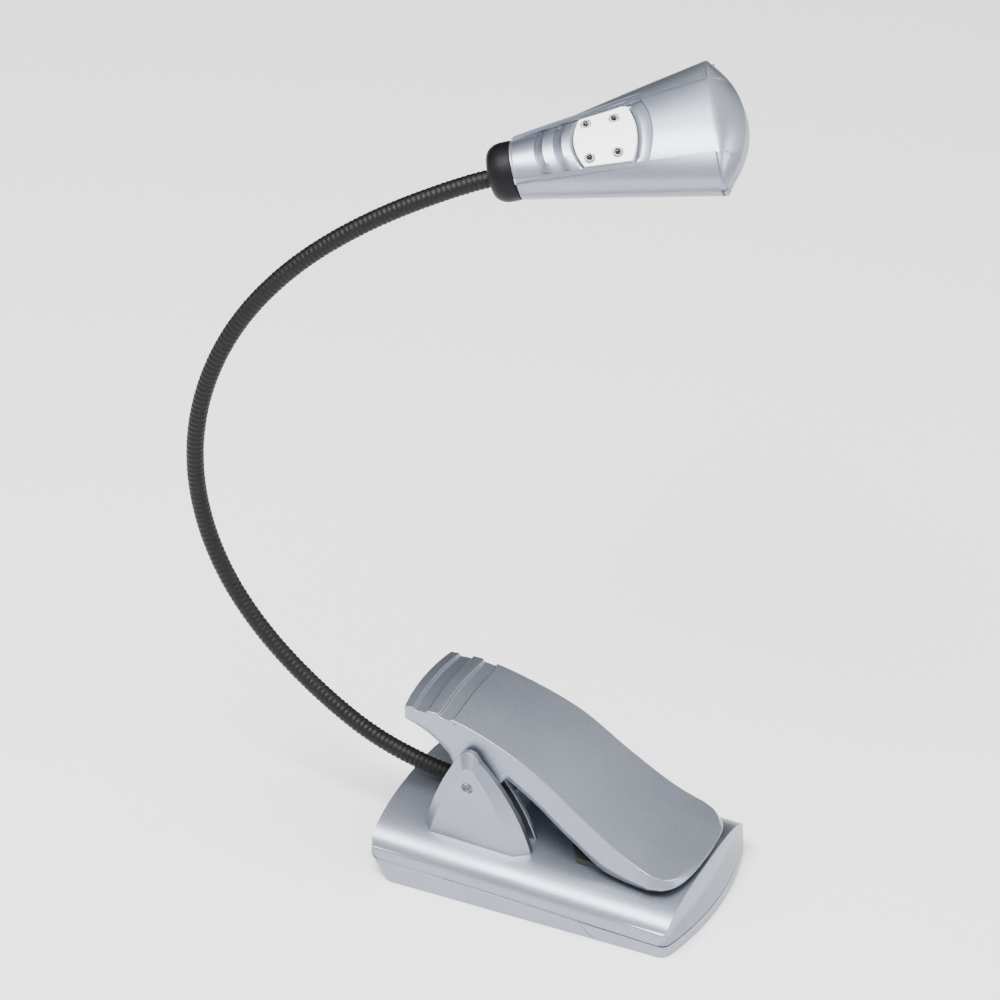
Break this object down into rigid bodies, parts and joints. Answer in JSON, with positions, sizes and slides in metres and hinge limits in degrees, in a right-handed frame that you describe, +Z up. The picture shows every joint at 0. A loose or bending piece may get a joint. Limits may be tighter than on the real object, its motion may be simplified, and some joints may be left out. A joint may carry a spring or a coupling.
{
  "type": "clip on reading lamp",
  "caption": "Battery reading lamp: sprung clip base with cell bay, flexible gooseneck and a flared head with a lit LED panel and push switch.",
  "frame": {"origin": "middle of the base's flat underside, between the sides and between the seam's corners", "axes": "+X from the neck end towards the clip's tip, +Y to the side the head leans to, +Z up"},
  "size_m": [0.1684, 0.0995, 0.2321],
  "materials": {
    "silver_paint": "satin metallic silver paint on moulded plastic",
    "black_rubber": "moulded, dull",
    "black_plastic": "fine moulded texture",
    "neck_coil": "close-wound coil, black, matt",
    "white_plastic": "moulded, satin",
    "clear_lens": "clear, polished",
    "steel": "plain",
    "circuit_board": "lacquered laminate",
    "cell_jacket": "printed shrink sleeve",
    "lead_jacket": "insulated wire"
  },
  "bodies": {
    "base": {"base_upper_shell": "silver_paint", "base_lower_shell": "silver_paint", "battery_tray": "black_plastic", "cell_1": "cell_jacket", "cell_2": "cell_jacket", "cell_3": "cell_jacket", "contact_spring_1": "steel", "contact_spring_2": "steel", "contact_spring_3": "steel", "contact_plate_1": "steel", "contact_plate_2": "steel", "contact_plate_3": "steel", "base_screw_1": "steel", "base_screw_2": "steel", "hinge_pin": "steel", "torsion_spring": "steel", "base_jaw_pad": "black_rubber", "base_lead": "lead_jacket", "neck_root": "neck_coil", "neck_ferrule": "black_plastic"},
    "door": {"battery_door": "silver_paint"},
    "lever": {"clip_lever": "silver_paint", "lever_jaw_pad": "black_rubber"},
    "neck_1": {"neck_1": "neck_coil"},
    "neck_2": {"neck_2": "neck_coil"},
    "neck_3": {"neck_3": "neck_coil"},
    "neck_4": {"neck_4": "neck_coil"},
    "neck_5": {"neck_5": "neck_coil"},
    "head": {"neck_6": "neck_coil", "neck_collar": "black_plastic", "head_front_shell": "silver_paint", "head_back_shell": "silver_paint", "led_panel": "white_plastic", "led_1": "clear_lens", "led_2": "clear_lens", "led_3": "clear_lens", "led_4": "clear_lens", "led_board": "circuit_board", "switch_body": "black_plastic", "head_lead": "lead_jacket", "head_screw_1": "steel", "head_screw_2": "steel"},
    "button": {"switch_button": "black_plastic"}
  },
  "joints": [
    {"name": "lever_hinge", "type": "hinge", "parent": "base", "child": "lever", "pos_m": [-0.0189, 0, 0.0343], "axis": [0, -1, 0], "range_deg": [0, 28], "stiffness_Nm_per_rad": 0.6, "springref_deg": -34.38, "deforming": ["torsion_spring"]},
    {"name": "battery_door_slide", "type": "slide", "parent": "base", "child": "door", "axis": [-1, 0, 0], "range_m": [0, 0.067]},
    {"name": "neck_bend_1", "type": "hinge", "parent": "base", "child": "neck_1", "pos_m": [-0.04869, 0, 0.02395], "axis": [0, 1, 0], "range_deg": [-30, 30]},
    {"name": "neck_bend_2", "type": "hinge", "parent": "neck_1", "child": "neck_2", "pos_m": [-0.08636, 0, 0.04591], "axis": [-0.6641, 0, -0.7476], "range_deg": [-30, 30]},
    {"name": "neck_bend_3", "type": "hinge", "parent": "neck_2", "child": "neck_3", "pos_m": [-0.11107, 0, 0.08171], "axis": [0, 1, 0], "range_deg": [-30, 30]},
    {"name": "neck_bend_4", "type": "hinge", "parent": "neck_3", "child": "neck_4", "pos_m": [-0.11306, 0.00081, 0.12511], "axis": [-0.9052, -0.3602, 0.2256], "range_deg": [-30, 30]},
    {"name": "neck_bend_5", "type": "hinge", "parent": "neck_4", "child": "neck_5", "pos_m": [-0.09415, 0.00833, 0.16356], "axis": [-0.3697, 0.9291, 0], "range_deg": [-30, 30]},
    {"name": "neck_bend_6", "type": "hinge", "parent": "neck_5", "child": "head", "pos_m": [-0.06131, 0.0214, 0.18936], "axis": [-0.4154, -0.1653, 0.8945], "range_deg": [-30, 30]},
    {"name": "switch_press", "type": "slide", "parent": "head", "child": "button", "axis": [0.0025, -0.5883, 0.8086], "range_m": [0, 0.001], "stiffness_N_per_m": 900, "springref_m": -0.0008}
  ]
}
